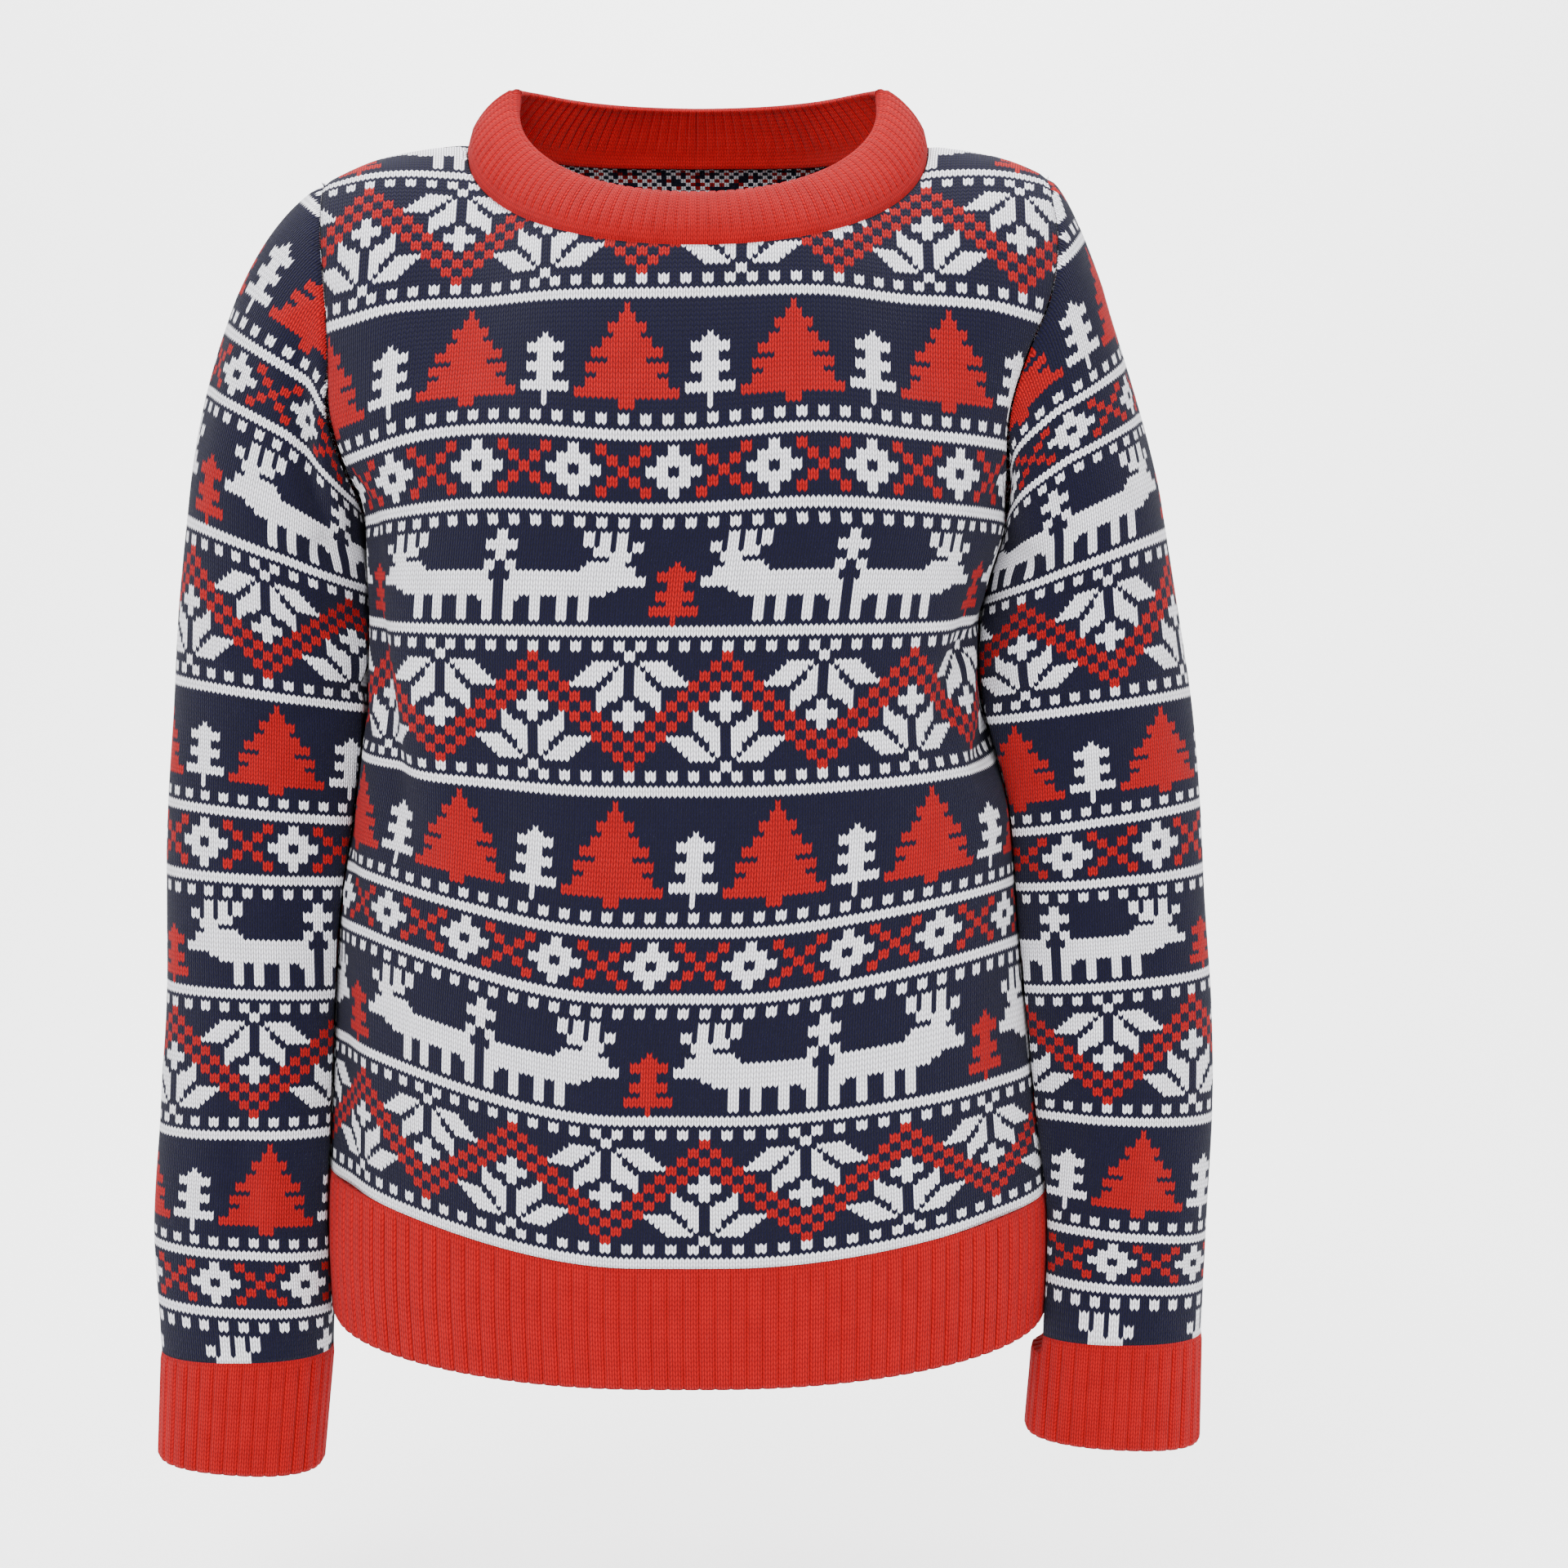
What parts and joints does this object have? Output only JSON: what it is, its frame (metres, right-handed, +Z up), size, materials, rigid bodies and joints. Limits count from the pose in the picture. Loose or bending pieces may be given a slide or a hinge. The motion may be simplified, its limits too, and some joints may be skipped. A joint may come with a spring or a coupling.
{
  "type": "knitted sweater",
  "caption": "Large navy, red and white crew-neck jumper knitted with bands of trees, reindeer, flowers and dots, filled out as when worn, with red ribbed neck, hem and cuffs.",
  "frame": {"origin": "middle of the neck opening, level with the highest points of the shoulder seams", "axes": "+Z up, +X towards the wearer's left sleeve, -Y out of the front"},
  "size_m": [0.5931, 0.2321, 0.7655],
  "materials": {
    "jacquard_knit": "soft matte two-layer jacquard knit in navy, red and white yarn",
    "rib_knit": "soft matte red rib knit"
  },
  "bodies": {
    "root": {"front_panel": "jacquard_knit", "back_panel": "jacquard_knit", "sleeve_left": "jacquard_knit", "sleeve_right": "jacquard_knit", "hem_rib_front": "rib_knit", "hem_rib_back": "rib_knit", "cuff_left": "rib_knit", "cuff_right": "rib_knit", "neckband": "rib_knit"}
  },
  "joints": []
}
